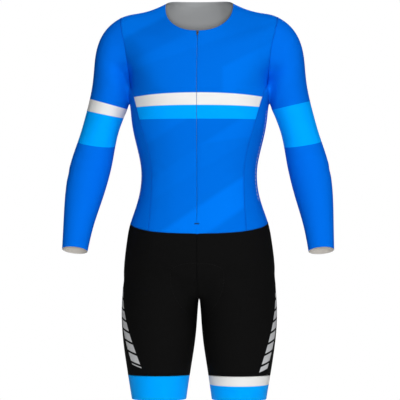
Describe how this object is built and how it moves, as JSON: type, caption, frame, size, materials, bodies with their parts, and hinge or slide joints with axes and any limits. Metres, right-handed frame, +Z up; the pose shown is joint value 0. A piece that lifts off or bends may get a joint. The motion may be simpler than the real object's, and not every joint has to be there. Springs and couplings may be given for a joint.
{
  "type": "cyclocross skinsuit",
  "caption": "Close-fitting long-sleeved, collarless cycling skinsuit with thigh-length shorts, front zip, seat pad and leg grip bands, filled out with no wearer.",
  "frame": {"origin": "midway between the wearer's two high shoulder points, where the shoulders carry the suit", "axes": "+Z up, the chest facing -Y, +X towards the wearer's left"},
  "size_m": [0.672, 0.2473, 0.997],
  "materials": {
    "blue_knit": "smooth blue elastane warp knit with a soft sheen",
    "black_knit": "dense matt black elastane warp knit",
    "grip_band": "light blue elastic band",
    "pad_cover": "brushed grey microfibre over foam",
    "zip_coil": "dark polyester coil and woven tape",
    "zip_metal": "black painted zinc"
  },
  "bodies": {
    "garment": {"front_left": "blue_knit", "front_right": "blue_knit", "back_panel": "blue_knit", "side_left": "blue_knit", "side_right": "blue_knit", "sleeve_left": "blue_knit", "sleeve_right": "blue_knit", "shorts_front_left": "black_knit", "shorts_front_right": "black_knit", "shorts_back_left": "black_knit", "shorts_back_right": "black_knit", "grip_left": "grip_band", "grip_right": "grip_band", "seat_pad": "pad_cover", "zip_chain": "zip_coil", "zip_slider": "zip_metal"},
    "zip_pull": {"zip_pull": "zip_metal"}
  },
  "joints": [
    {"name": "zip_pull_swing", "type": "hinge", "parent": "garment", "child": "zip_pull", "pos_m": [0, -0.08228, -0.0722], "axis": [-1, 0, 0], "range_deg": [0, 175]}
  ]
}
